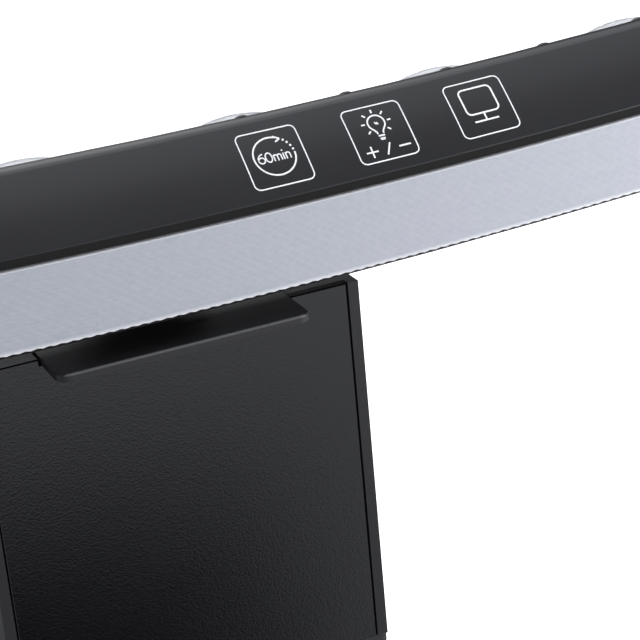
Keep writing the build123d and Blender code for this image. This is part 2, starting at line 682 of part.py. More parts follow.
def box_shell():
    """Tray of the weight box, open to the front, with hinge lugs and screw bosses."""
    half = BOX_W / 2
    z = (BOX_TOP - BOX_H, BOX_TOP)
    outer = block((-half, half), (PLATE_Y, BOX_BACK), z)
    rear_top = outer.edges().filter_by(Axis.X).sort_by(lambda e: e.center().Y + e.center().Z)[-1:]
    outer = fillet(rear_top, HINGE_R + HINGE_SKIN)
    inner_x = (-half + BOX_WALL, half - BOX_WALL)
    cover_seat = block(inner_x, (PLATE_Y - CUT, PLATE_Y + PLATE_T), (z[0] - CUT, z[1] + CUT))
    cavity = block(inner_x, (PLATE_Y, BOX_BACK - BOX_WALL), (z[0] + BOX_WALL, z[1] - BOX_TOP_WALL))
    shell = outer - cover_seat - cavity
    reach = HINGE_SLOT_W / 2 + LUG_W
    shell += rod_x(HINGE_R + HINGE_SKIN, -reach, reach, HINGE_Y, HINGE_Z)
    shell -= tongue_recess(0)
    slot_front = HINGE_Y - HINGE_R - HINGE_GAP
    slot_floor = HINGE_Z - HINGE_R - HINGE_GAP
    slot = HINGE_SLOT_W / 2
    wall = slot + SLOT_WALL
    walled = (slot_front - SLOT_WALL, BOX_BACK - JOIN)
    shell += block((-wall, wall), walled, (slot_floor - SLOT_WALL, HINGE_Z))
    shell -= block((-slot, slot), (slot_front, BOX_BACK + CUT), (slot_floor, BOX_TOP + CUT))
    bore = reach - PIN_END_WALL
    shell -= rod_x(HINGE_PIN_R + PIN_RUN, -bore, bore, HINGE_Y, HINGE_Z)
    for boss in screw_bosses():
        shell += boss
    for item in box_screws(hole=True):
        shell -= item
    return shell


def weight_corners():
    """The four screw places on the weight, in X and Z."""
    middle = BOX_TOP - BOX_H / 2
    dx = WEIGHT_W / 2 - WEIGHT_SCREW_IN
    dz = WEIGHT_H / 2 - WEIGHT_SCREW_IN
    return [(x, middle + z) for x in (-dx, dx) for z in (-dz, dz)]


WEIGHT_FRONT = PLATE_Y + PLATE_T + TAPE_T
WEIGHT_BACK = WEIGHT_FRONT + WEIGHT_T


def screw_bosses():
    """Round bosses from the box's back wall to the weight."""
    depth = BOX_BACK - BOX_WALL / 2 - WEIGHT_BACK
    boss = Rot(X=90) * Cylinder(BOSS_R, depth)
    return [Pos(x, WEIGHT_BACK + depth / 2, z) * boss for x, z in weight_corners()]


def box_screws(hole=False):
    """Four screws from behind, through the bosses and into the weight."""
    y = BOX_BACK - BOX_SCREW[3] + BOX_SCREW_PROUD
    return [Pos(x, y, z) * Rot(X=-90) * screw(BOX_SCREW, hole) for x, z in weight_corners()]


def counterweight():
    """Steel block that keeps the box hanging against the monitor's back."""
    middle = BOX_TOP - BOX_H / 2
    z = (middle - WEIGHT_H / 2, middle + WEIGHT_H / 2)
    solid = block((-WEIGHT_W / 2, WEIGHT_W / 2), (WEIGHT_FRONT, WEIGHT_BACK), z)
    solid = fillet(solid.edges().filter_by(Axis.Y), WEIGHT_R)
    for item in box_screws(hole=True):
        solid -= item
    return solid


def plate_tape():
    """Adhesive sheet between the weight and the front plate."""
    middle = BOX_TOP - BOX_H / 2
    half_w = WEIGHT_W / 2 - TAPE_MARGIN
    half_h = WEIGHT_H / 2 - TAPE_MARGIN
    z = (middle - half_h, middle + half_h)
    return block((-half_w, half_w), (WEIGHT_FRONT - TAPE_T, WEIGHT_FRONT), z)


def front_plate():
    """Flat plate that faces the monitor's back, notched for the hook sheet."""
    half = BOX_W / 2 - BOX_WALL - SEAM
    solid = block((-half, half), (PLATE_Y, PLATE_Y + PLATE_T), (BOX_TOP - BOX_H, BOX_TOP))
    front = solid.faces().sort_by(Axis.Y)[0]
    solid = chamfer(front.edges(), PLATE_CHAMFER)
    return solid - tongue_recess(0)


def bottom_bumper():
    """Rubber bumper along the bottom of the box, a little wider than the box."""
    half = BOX_W / 2 + BUMPER_PROUD
    top = BOX_TOP - BOX_H
    y = (PLATE_Y + BUMPER_FRONT_GAP, BOX_BACK - BUMPER_BACK_GAP)
    solid = block((-half, half), y, (top - BUMPER_H, top))
    low = solid.edges().group_by(Axis.Z)[0]
    upright = solid.edges().filter_by(Axis.Z)
    return fillet(low + upright, BUMPER_R)


def hinge_pin():
    """Steel pin of the box hinge."""
    reach = HINGE_SLOT_W / 2 + LUG_W - PIN_END_WALL - PIN_END_GAP
    return rod_x(HINGE_PIN_R, -reach, reach, HINGE_Y, HINGE_Z)


def torsion_springs():
    """Torsion spring each side of the knuckle, with both legs down to the slot's floor."""
    start = HINGE_KNUCKLE_W / 2 + SPRING_GAP + SPRING_WIRE_R
    path = Helix(SPRING_PITCH, SPRING_PITCH * SPRING_TURNS, SPRING_R)
    wire = Plane(origin=path @ 0, z_dir=path % 0) * Circle(SPRING_WIRE_R)
    coil = sweep(wire, path=path, is_frenet=True)
    coil = Pos(start, HINGE_Y, HINGE_Z) * Rot(Y=90) * coil
    end = start + SPRING_PITCH * SPRING_TURNS
    low = HINGE_Z - HINGE_R - HINGE_GAP
    high = HINGE_Z - SPRING_R
    leg = Cylinder(SPRING_WIRE_R, high - low)
    legs = [Pos(x, HINGE_Y, (high + low) / 2) * leg for x in (start, end)]
    return mirrored(coil + legs[0] + legs[1])


# ---- write every node
HOUSING = bar_housing()
CAP = end_cap()

NODES = {
    "hook_plate": hook_plate(),
    "grip_pad": grip_pad(),
    "neck": neck(),
    "neck_screws": neck_screws(),
    "tilt_pin": tilt_pin(),
    "friction_washers": friction_washers(),
    "box_shell": box_shell(),
    "front_plate": front_plate(),
    "plate_tape": plate_tape(),
    "counterweight": counterweight(),
    "box_screws": box_screws(),
    "bottom_bumper": bottom_bumper(),
    "hinge_pin": hinge_pin(),
    "torsion_springs": torsion_springs(),
    "bar_housing": HOUSING,
    "rear_cover": rear_cover(),
    "front_diffuser": front_diffuser(),
    "front_reflector": front_reflector(),
    "front_led_board": front_led_board(),
    "front_leds": front_leds(),
    "chassis_rails": chassis_rails(),
    "pivot_blocks": pivot_blocks(),
    "backlight_lens": backlight_lens(),
    "rear_led_board": rear_led_board(),
    "rear_leds": rear_leds(),
    "touch_board": touch_board(),
    "touch_pads": touch_pads(),
    "driver_board": driver_board(),
    "board_standoffs": board_standoffs(),
    "driver_parts": driver_parts(),
    "usb_socket": usb_socket(),
    "ridge_plugs": ridge_plugs(),
    "end_cap_right": CAP,
    "end_cap_left": mirror(CAP, about=Plane.YZ),
    "end_cap_screws": [item for screw_pair in end_cap_screws() for item in mirrored(screw_pair)],
    "cover_screws": cover_screws(),
}

os.makedirs("parts", exist_ok=True)
for name, shape in NODES.items():
    solids = Compound(children=shape) if isinstance(shape, list) else shape
    export_step(solids, f"parts/{name}.step")
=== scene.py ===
"""Looks of the monitor light bar: finishes, prism diffuser, printed symbols, stage, lights and camera.

Everything is in metres in the frame's axes: +Z up, X along the bar, -Y towards the desk.
"""
import json
from math import cos, pi, radians, sin

import bmesh
import bpy
import numpy as np
from mathutils import Matrix, Vector


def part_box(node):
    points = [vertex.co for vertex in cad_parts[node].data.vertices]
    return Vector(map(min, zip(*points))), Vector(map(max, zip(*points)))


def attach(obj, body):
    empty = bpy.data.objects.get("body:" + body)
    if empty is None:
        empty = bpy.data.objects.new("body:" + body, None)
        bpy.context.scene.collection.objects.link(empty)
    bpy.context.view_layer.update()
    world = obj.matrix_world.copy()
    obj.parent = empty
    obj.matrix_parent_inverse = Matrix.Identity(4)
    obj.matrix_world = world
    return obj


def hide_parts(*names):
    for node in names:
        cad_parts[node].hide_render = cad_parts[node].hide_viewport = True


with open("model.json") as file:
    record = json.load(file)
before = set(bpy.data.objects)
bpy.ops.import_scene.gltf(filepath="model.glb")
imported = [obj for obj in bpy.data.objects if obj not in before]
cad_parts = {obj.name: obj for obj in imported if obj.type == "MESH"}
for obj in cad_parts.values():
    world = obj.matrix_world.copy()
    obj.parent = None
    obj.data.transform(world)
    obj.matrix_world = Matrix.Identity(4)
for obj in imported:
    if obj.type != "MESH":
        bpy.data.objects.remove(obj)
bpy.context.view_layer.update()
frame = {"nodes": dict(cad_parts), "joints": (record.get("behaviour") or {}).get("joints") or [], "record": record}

MM = 0.001

# ---- the bar's section and bend, in millimetres about the tilt axis, x back and y up
BEND_R = 1080.0
BEND_RISE = radians(59.0)
BAR_HALF = 247.0            # half the length between the end caps, along the bend
NOSE = np.array([-9.6, 3.9])
REAR_TOP = np.array([9.2, 8.1])
FACE_SLOPE = radians(42.0)
LENS_SLOPE = radians(45.0)
FACE_BULGE = 0.4
GROOVE_W = 1.5
STRIP_LEAN = radians(10.5)
STRIP_W = 13.6
DIFFUSER_T = 1.4

# ---- prism pattern of the diffuser
PRISM_ROW = 0.68            # row pitch down the strip
PRISM_DASH = 1.8            # pitch of the short prisms along a row
PRISM_DEPTH = 0.035
NOTCH_DEPTH = 0.16          # saw-toothed lower edge of the diffuser, one tooth to a dash
PRISM_SAMPLES = 4           # mesh points per row pitch and per dash pitch
EDGE_R = 0.25               # rounded long edges of the diffuser

# ---- touch symbols
SYMBOL_FIRST = 18.7
SYMBOL_PITCH = 17.4
SYMBOL_ALONG = 9.1          # centre of the symbols below the crest corner, down the face
FRAME_SIDE = 9.65           # outer square of each symbol
FRAME_R = 0.95
INK_THIN = 0.19
INK_BOLD = 0.25
INK_PROUD = 0.07            # over the frame mesh's flats, which stand 0.05 above the true hollow bend
INK_SUNK = 0.12
INK_STEP = 0.35             # longest straight run of a printed line, so that it follows the crown

# ---- stage and light
FLOOR_HALF = 6.0
FLOOR_LEVEL = -0.35
STUDIO_COOL = (0.93, 0.95, 1.0)     # the surroundings' colour as a light
PAINTED_EDGE_HIGHLIGHT = (0.075, 0.075, 0.08) # a black made paler, painted as a highlight along edges that catch the light

# ---- view
VIEW_AZIMUTH = radians(-22.842)
VIEW_ELEVATION = radians(21.917)
VIEW_ROLL = radians(-5.318)
VIEW_DISTANCE = 0.302439
VIEW_AIM = (0.02285, 0.001124)      # from the plate's top middle, right and up in the view
LENS_MM = 113.56


# ---- bar geometry
def unit(angle):
    """The unit vector at an angle."""
    return np.array([cos(angle), sin(angle)])


def crest_corner():
    """Where the touch face's chord and the lens plane cross."""
    gap = REAR_TOP - NOSE
    along = (gap[0] * sin(LENS_SLOPE) + gap[1] * cos(LENS_SLOPE)) / sin(FACE_SLOPE + LENS_SLOPE)
    return NOSE + along * unit(FACE_SLOPE)


TILT_JOINT = next(joint for joint in frame["joints"] if joint["child"] == "lamp_bar")
TILT_AXIS = np.array(TILT_JOINT["pos_m"], float)
CREST = crest_corner()
FACE_CHORD = float(np.hypot(*(CREST - NOSE)))
FACE_R = FACE_CHORD ** 2 / (8 * FACE_BULGE) + FACE_BULGE / 2
STRIP_TOP = NOSE + GROOVE_W * unit(STRIP_LEAN - pi / 2)
HOLLOW = np.array([0, -cos(BEND_RISE), sin(BEND_RISE)])         # from the bar to the middle of its bend
TURN_LINE = np.array([0, sin(BEND_RISE), cos(BEND_RISE)])


def bar_points(along, section):
    """Section points carried along the bar: each turns about a line BEND_R from the tilt axis on the
    hollow side, by the angle along / BEND_R, and keeps its height along that line."""
    offset = np.concatenate([np.zeros_like(section[..., :1]), section], axis=-1)
    reach = BEND_R - offset @ HOLLOW
    height = offset @ TURN_LINE
    angle = along / BEND_R
    points = (reach * np.sin(angle))[..., None] * np.array([1.0, 0, 0])
    points = points + (BEND_R - reach * np.cos(angle))[..., None] * HOLLOW + height[..., None] * TURN_LINE
    return points * MM + TILT_AXIS


def strip_section(down, depth):
    """Section points of the diffuser's frame: down from its top edge, and inwards from its outer face."""
    return STRIP_TOP + down[..., None] * unit(STRIP_LEAN - pi / 2) + depth[..., None] * unit(STRIP_LEAN)


def face_section(down, proud):
    """Section points on the crowned touch face: down its chord from the crest corner, and proud of the
    crown, whose rise is the arc of radius FACE_R over that chord."""
    rise = np.sqrt(FACE_R ** 2 - (down - FACE_CHORD / 2) ** 2) - (FACE_R - FACE_BULGE)
    outward = FACE_SLOPE + pi / 2
    return CREST - down[..., None] * unit(FACE_SLOPE) + (rise + proud)[..., None] * unit(outward)


# ---- mesh helpers
def loft(rings, closed=False):
    """Points and faces of a tube: rings is (n, m, 3); quads join ring to ring, and a polygon closes each
    end unless the tube runs round into itself."""
    count, size = rings.shape[:2]
    index = np.arange(count * size).reshape(count, size)
    last = count if closed else count - 1
    here = index[:last]
    ahead = np.roll(index, -1, axis=0)[:last]
    quads = np.stack([here, np.roll(here, -1, 1), np.roll(ahead, -1, 1), ahead], -1).reshape(-1, 4)
    faces = quads.tolist()
    if not closed:
        faces += [index[0, ::-1].tolist(), index[-1].tolist()]
    return rings.reshape(-1, 3), faces


def joined(parts):
    """Several (points, faces) pairs as one."""
    points, faces, start = [], [], 0
    for some_points, some_faces in parts:
        points.append(some_points)
        faces += [[corner + start for corner in face] for face in some_faces]
        start += len(some_points)
    return np.concatenate(points), faces


def new_piece(name, points, faces, material, body, smooth):
    """A mesh object at the origin with outward faces, riding on a body."""
    mesh = bpy.data.meshes.new(name)
    mesh.from_pydata(points.tolist(), [], faces)
    work = bmesh.new()
    work.from_mesh(mesh)
    bmesh.ops.recalc_face_normals(work, faces=work.faces)
    work.to_mesh(mesh)
    work.free()
    mesh.polygons.foreach_set("use_smooth", np.full(len(mesh.polygons), smooth))
    mesh.materials.append(material)
    piece = bpy.data.objects.new(name, mesh)
    bpy.context.scene.collection.objects.link(piece)
    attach(piece, body)
    return piece


# ---- node helpers
def wire(tree, source, target):
    tree.links.new(source, target)


def add(tree, kind, **settings):
    """A node with its properties set."""
    node = tree.nodes.new(kind)
    for key, value in settings.items():
        setattr(node, key, value)
    return node


def compute(tree, operation, first, second=None, clamp=False):
    """A Math node's result from sockets or numbers."""
    node = add(tree, "ShaderNodeMath", operation=operation, use_clamp=clamp)
    for socket, value in zip(node.inputs, (first, second)):
        if value is None:
            continue
        if isinstance(value, (int, float)):
            socket.default_value = value
        else:
            wire(tree, value, socket)
    return node.outputs[0]


def spread(tree, value, low, high, to_low=0.0, to_high=1.0):
    """A value stretched from one range to another and held within it."""
    node = add(tree, "ShaderNodeMapRange")
    wire(tree, value, node.inputs["Value"])
    for socket, number in zip(list(node.inputs)[1:5], (low, high, to_low, to_high)):
        socket.default_value = number
    return node.outputs["Result"]


def mixed(tree, share, first, second):
    """A colour mixed by a share; each colour is a socket or three numbers."""
    node = add(tree, "ShaderNodeMix", data_type="RGBA")
    wire(tree, share, node.inputs["Factor"])
    for socket, colour in ((node.inputs[6], first), (node.inputs[7], second)):
        if isinstance(colour, tuple):
            socket.default_value = (*colour, 1.0)
        else:
            wire(tree, colour, socket)
    return node.outputs[2]


def new_group(name, inputs, outputs):
    """An empty node group with named float sockets, plus a Vector input first."""
    tree = bpy.data.node_groups.new(name, "ShaderNodeTree")
    tree.interface.new_socket("Vector", in_out="INPUT", socket_type="NodeSocketVector")
    for label in inputs:
        tree.interface.new_socket(label, in_out="INPUT", socket_type="NodeSocketFloat")
    for label in outputs:
        tree.interface.new_socket(label, in_out="OUTPUT", socket_type="NodeSocketFloat")
    return tree, add(tree, "NodeGroupInput"), add(tree, "NodeGroupOutput")


def use_group(tree, group, vector, **values):
    """A group placed in a material with its own values; underscores in names stand for spaces."""
    node = add(tree, "ShaderNodeGroup", node_tree=group)
    wire(tree, vector, node.inputs["Vector"])
    for label, number in values.items():
        node.inputs[label.replace("_", " ")].default_value = number
    return node


# ---- shared effects
def grain_effect():
    """Fine moulded grain, and slow patches of a few centimetres, each as 0 to 1."""
    tree, given, result = new_group("moulded_grain", ("Grain Scale", "Patch Scale"), ("Grain", "Patch"))
    for label, detail, low, high in (("Grain", 2.0, 0.30, 0.70), ("Patch", 3.0, 0.35, 0.65)):
        noise = add(tree, "ShaderNodeTexNoise")
        noise.inputs["Detail"].default_value = detail
        wire(tree, given.outputs["Vector"], noise.inputs["Vector"])
        wire(tree, given.outputs[label + " Scale"], noise.inputs["Scale"])
        wire(tree, spread(tree, noise.outputs[0], low, high), result.inputs[label])
    return tree


def speck_effect():
    """Sparse round specks: out to a small radius, the Voronoi cells whose random value is under a share."""
    tree, given, result = new_group("dust_specks", ("Scale", "Radius", "Share"), ("Mask",))
    cells = add(tree, "ShaderNodeTexVoronoi")
    wire(tree, given.outputs["Vector"], cells.inputs["Vector"])
    wire(tree, given.outputs["Scale"], cells.inputs["Scale"])
    near = compute(tree, "LESS_THAN", cells.outputs["Distance"], given.outputs["Radius"])
    chosen = add(tree, "ShaderNodeSeparateColor")
    wire(tree, cells.outputs["Color"], chosen.inputs[0])
    picked = compute(tree, "LESS_THAN", chosen.outputs[0], given.outputs["Share"])
    wire(tree, compute(tree, "MULTIPLY", near, picked), result.inputs["Mask"])
    return tree


def streak_effect():
    """Lines along X, as brushing, drawing or rolling leaves them: noise stretched by a factor, 0 to 1."""
    tree, given, result = new_group("brushed_streaks", ("Scale", "Stretch"), ("Streak",))
    split = add(tree, "ShaderNodeSeparateXYZ")
    wire(tree, given.outputs["Vector"], split.inputs[0])
    shrunk = compute(tree, "DIVIDE", split.outputs["X"], given.outputs["Stretch"])
    joined_up = add(tree, "ShaderNodeCombineXYZ")
    for source, target in zip((shrunk, split.outputs["Y"], split.outputs["Z"]), joined_up.inputs):
        wire(tree, source, target)
    noise = add(tree, "ShaderNodeTexNoise")
    noise.inputs["Detail"].default_value = 3.0
    wire(tree, joined_up.outputs[0], noise.inputs["Vector"])
    wire(tree, given.outputs["Scale"], noise.inputs["Scale"])
    wire(tree, spread(tree, noise.outputs[0], 0.3, 0.7), result.inputs["Streak"])
    return tree


def section_effect():
    """Where a point of the bar lies in the diffuser's frame, in millimetres: down from its top edge, and
    inwards. It undoes bar_points: the point's distance from the bend's middle gives how far in it lies."""
    tree, given, result = new_group("bar_section", (), ("Down", "Depth"))
    offset = add(tree, "ShaderNodeVectorMath", operation="SUBTRACT")
    wire(tree, given.outputs["Vector"], offset.inputs[0])
    offset.inputs[1].default_value = tuple(TILT_AXIS)
    lengths = []
    for direction in (HOLLOW, TURN_LINE, np.array([1.0, 0, 0])):
        length = add(tree, "ShaderNodeVectorMath", operation="DOT_PRODUCT")
        wire(tree, offset.outputs[0], length.inputs[0])
        length.inputs[1].default_value = tuple(direction / MM)
        lengths.append(length.outputs["Value"])
    inward, height, along = lengths
    straight = compute(tree, "SUBTRACT", BEND_R, inward)
    reach = compute(tree, "SQRT", compute(tree, "ADD", compute(tree, "MULTIPLY", straight, straight),
                                          compute(tree, "MULTIPLY", along, along)))
    inward = compute(tree, "SUBTRACT", BEND_R, reach)
    for label, angle in (("Down", STRIP_LEAN - pi / 2), ("Depth", STRIP_LEAN)):
        part = compute(tree, "ADD", compute(tree, "MULTIPLY", inward, float(HOLLOW[1:] @ unit(angle))),
                       compute(tree, "MULTIPLY", height, float(TURN_LINE[1:] @ unit(angle))))
        wire(tree, compute(tree, "SUBTRACT", part, float(STRIP_TOP @ unit(angle))), result.inputs[label])
    return tree


GRAIN = grain_effect()
SPECKS = speck_effect()
STREAKS = streak_effect()
SECTION = section_effect()


# ---- finishes
def new_finish(name, metallic=0.0, specular=0.5, coat=0.0, coat_roughness=0.1):
    """A material with its Principled shader, and the Object coordinates it paints on."""
    material = bpy.data.materials.new(name)
    material.use_nodes = True
    tree = material.node_tree
    shader = tree.nodes["Principled BSDF"]
    shader.inputs["Metallic"].default_value = metallic
    shader.inputs["Specular IOR Level"].default_value = specular
    shader.inputs["Coat Weight"].default_value = coat
    shader.inputs["Coat Roughness"].default_value = coat_roughness
    place = add(tree, "ShaderNodeTexCoord").outputs["Object"]
    return material, tree, shader, place


def set_bump(tree, shader, height, distance, strength=1.0):
    """Relief of a height of 0 to 1 times a distance in metres."""
    bump = add(tree, "ShaderNodeBump")
    bump.inputs["Strength"].default_value = strength
    bump.inputs["Distance"].default_value = distance
    wire(tree, height, bump.inputs["Height"])
    wire(tree, bump.outputs["Normal"], shader.inputs["Normal"])


def shade(colour, factor):
    """A colour made lighter or darker."""
    return tuple(min(part * factor, 1.0) for part in colour)


def moulded(name, colour, roughness, grain_mm, relief_mm, variation=0.08, specular=0.5, dust=0.0):
    """Moulded plastic, rubber or paint: grain in colour and relief, slow patches, and a little dust."""
    material, tree, shader, place = new_finish(name, specular=specular)
    grain = use_group(tree, GRAIN, place, Grain_Scale=1000 / grain_mm, Patch_Scale=30.0)
    blotch = compute(tree, "ADD", compute(tree, "MULTIPLY", grain.outputs["Grain"], 0.6),
                     compute(tree, "MULTIPLY", grain.outputs["Patch"], 0.4))
    base = mixed(tree, blotch, shade(colour, 1 - variation), shade(colour, 1 + variation))
    if dust:
        specks = use_group(tree, SPECKS, place, Scale=110.0, Radius=0.016, Share=dust)
        base = mixed(tree, specks.outputs["Mask"], base, (0.75, 0.75, 0.75))
    wire(tree, base, shader.inputs["Base Color"])
    rough = spread(tree, grain.outputs["Patch"], 0.0, 1.0, roughness * 0.93, min(roughness * 1.07, 1.0))
    wire(tree, rough, shader.inputs["Roughness"])
    set_bump(tree, shader, grain.outputs["Grain"], relief_mm * MM)
    return material


def reopened(material):
    """A finished material's tree and shader, its Object coordinates, and the colour wired to its base."""
    tree = material.node_tree
    shader = tree.nodes["Principled BSDF"]
    place = tree.nodes["Texture Coordinate"].outputs["Object"]
    return tree, shader, place, shader.inputs["Base Color"].links[0].from_socket


def machined(name, colour, roughness, line_mm, stretch=40.0):
    """Bare metal with the fine lines of drawing, grinding or rolling."""
    material, tree, shader, place = new_finish(name, metallic=1.0)
    lines = use_group(tree, STREAKS, place, Scale=1000 / line_mm, Stretch=stretch)
    streak = lines.outputs["Streak"]
    wire(tree, mixed(tree, streak, shade(colour, 0.88), shade(colour, 1.06)), shader.inputs["Base Color"])
    rough = spread(tree, streak, 0.0, 1.0, roughness * 0.8, roughness * 1.25)
    wire(tree, rough, shader.inputs["Roughness"])
    set_bump(tree, shader, streak, 0.004 * MM)
    return material


def circuit_board(name, colour):
    """Solder mask over a copper pattern: squarish cells a little lighter than the board, under gloss."""
    material, tree, shader, place = new_finish(name, coat=0.4)
    cells = add(tree, "ShaderNodeTexVoronoi", distance="CHEBYCHEV")
    cells.inputs["Scale"].default_value = 420.0
    wire(tree, place, cells.inputs["Vector"])
    pattern = spread(tree, cells.outputs["Distance"], 0.25, 0.42)
    grain = use_group(tree, GRAIN, place, Grain_Scale=3000.0, Patch_Scale=60.0)
    tinted = mixed(tree, pattern, shade(colour, 1.12), shade(colour, 0.92))
    dulled = compute(tree, "MULTIPLY", grain.outputs["Patch"], 0.4)
    wire(tree, mixed(tree, dulled, tinted, shade(colour, 0.8)), shader.inputs["Base Color"])
    shader.inputs["Roughness"].default_value = 0.35
    set_bump(tree, shader, pattern, 0.02 * MM)
    return material


def satin_housing():
    """The housing's satin plastic, with painted shade in the groove above the diffuser (near black and rougher)
    and a painted highlight along the nose.
    """
    material = moulded("satin_housing", (0.014, 0.014, 0.016), 0.30, 0.16, 0.002, specular=0.45)
    tree, shader, place, plain = reopened(material)
    spot = use_group(tree, SECTION, place)
    # painted shade: the groove above the diffuser is coloured near black for the shade it lies in, and made
    # rougher
    groove = compute(tree, "MULTIPLY", spread(tree, spot.outputs["Down"], -GROOVE_W + 0.1, -GROOVE_W + 0.2),
                     spread(tree, spot.outputs["Depth"], 0.1, 0.3))
    # painted highlight: a thin paler line along the rounded nose below the touch face
    from_nose = compute(tree, "ABSOLUTE", compute(tree, "ADD", spot.outputs["Down"], GROOVE_W))
    nose = compute(tree, "MULTIPLY", spread(tree, from_nose, 0.30, 0.15),
                   spread(tree, spot.outputs["Depth"], 0.35, 0.20))
    nose_highlighted = mixed(tree, nose, plain, PAINTED_EDGE_HIGHLIGHT)
    wire(tree, mixed(tree, groove, nose_highlighted, (0.002, 0.002, 0.002)), shader.inputs["Base Color"])
    satin = shader.inputs["Roughness"].links[0].from_socket
    rough = compute(tree, "MAXIMUM", satin, compute(tree, "MULTIPLY", groove, 0.9))
    wire(tree, rough, shader.inputs["Roughness"])
    return material


def powder_coat():
    """Black powder coat on the hook sheet, with the ledge's front face painted lighter and a painted highlight
    along its front top edge.
    """
    material = moulded("powder_coat", (0.010, 0.010, 0.011), 0.5, 0.22, 0.006, 0.15, specular=0.3)
    tree, shader, place, plain = reopened(material)
    low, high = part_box("hook_plate")
    split = add(tree, "ShaderNodeSeparateXYZ")
    wire(tree, place, split.inputs[0])
    # painted light: the ledge's front face is coloured a little lighter, and its front top edge paler still as a
    # highlight
    front = spread(tree, split.outputs["Y"], low.y + 0.35 * MM, low.y + 0.20 * MM)
    top = spread(tree, split.outputs["Z"], high.z - 0.40 * MM, high.z - 0.25 * MM)
    face = mixed(tree, front, plain, (0.018, 0.018, 0.020))
    edge = compute(tree, "MULTIPLY", front, top)
    wire(tree, mixed(tree, edge, face, PAINTED_EDGE_HIGHLIGHT), shader.inputs["Base Color"])
    return material


def prism_acrylic():
    """Milky acrylic: cool pale grey in faint patches, satin gloss, and a painted highlight along its two long
    edges.
    """
    material, tree, shader, place = new_finish("prism_acrylic")
    grain = use_group(tree, GRAIN, place, Grain_Scale=900.0, Patch_Scale=38.0)
    tint = mixed(tree, grain.outputs["Patch"], (0.385, 0.408, 0.452), (0.398, 0.410, 0.458))
    fine = mixed(tree, compute(tree, "MULTIPLY", grain.outputs["Grain"], 0.25), tint, (0.50, 0.51, 0.55))
    spot = use_group(tree, SECTION, place)
    # painted highlight: paler bands along the diffuser's top and bottom edges
    upper = spread(tree, spot.outputs["Down"], 0.18, 0.05, 0.0, 0.6)
    lower = spread(tree, spot.outputs["Down"], STRIP_W - 0.9, STRIP_W - 0.2, 0.0, 0.8)
    edges = compute(tree, "MAXIMUM", upper, lower)
    wire(tree, mixed(tree, edges, fine, (0.80, 0.80, 0.82)), shader.inputs["Base Color"])
    wire(tree, spread(tree, grain.outputs["Patch"], 0.0, 1.0, 0.26, 0.34), shader.inputs["Roughness"])
    set_bump(tree, shader, grain.outputs["Grain"], 0.006 * MM)
    return material


def frosted_lens():
    """Frosted lens: a half see-through shader with a fine bead blast."""
    material, tree, shader, place = new_finish("frosted_lens")
    shader.inputs["Transmission Weight"].default_value = 0.55
    shader.inputs["IOR"].default_value = 1.45
    grain = use_group(tree, GRAIN, place, Grain_Scale=4000.0, Patch_Scale=80.0)
    tint = mixed(tree, grain.outputs["Grain"], (0.86, 0.88, 0.90), (0.94, 0.95, 0.97))
    wire(tree, tint, shader.inputs["Base Color"])
    wire(tree, spread(tree, grain.outputs["Patch"], 0.0, 1.0, 0.32, 0.42), shader.inputs["Roughness"])
    set_bump(tree, shader, grain.outputs["Grain"], 0.01 * MM)
    return material


def led_package():
    """White LED package with its yellow phosphor window."""
    material, tree, shader, place = new_finish("led_package", coat=0.5)
    grain = use_group(tree, GRAIN, place, Grain_Scale=2500.0, Patch_Scale=300.0)
    phosphor = mixed(tree, grain.outputs["Patch"], (0.93, 0.80, 0.36), (0.95, 0.90, 0.62))
    wire(tree, phosphor, shader.inputs["Base Color"])
    shader.inputs["Roughness"].default_value = 0.3
    return material


def printed_ink():
    """White screen-printed ink, slightly uneven."""
    material, tree, shader, place = new_finish("printed_ink", specular=0.3)
    grain = use_group(tree, GRAIN, place, Grain_Scale=5000.0, Patch_Scale=400.0)
    white = mixed(tree, grain.outputs["Grain"], (0.80, 0.81, 0.83), (0.95, 0.95, 0.95))
    wire(tree, white, shader.inputs["Base Color"])
    wire(tree, spread(tree, grain.outputs["Patch"], 0.0, 1.0, 0.5, 0.65), shader.inputs["Roughness"])
    set_bump(tree, shader, grain.outputs["Grain"], 0.003 * MM)
    return material


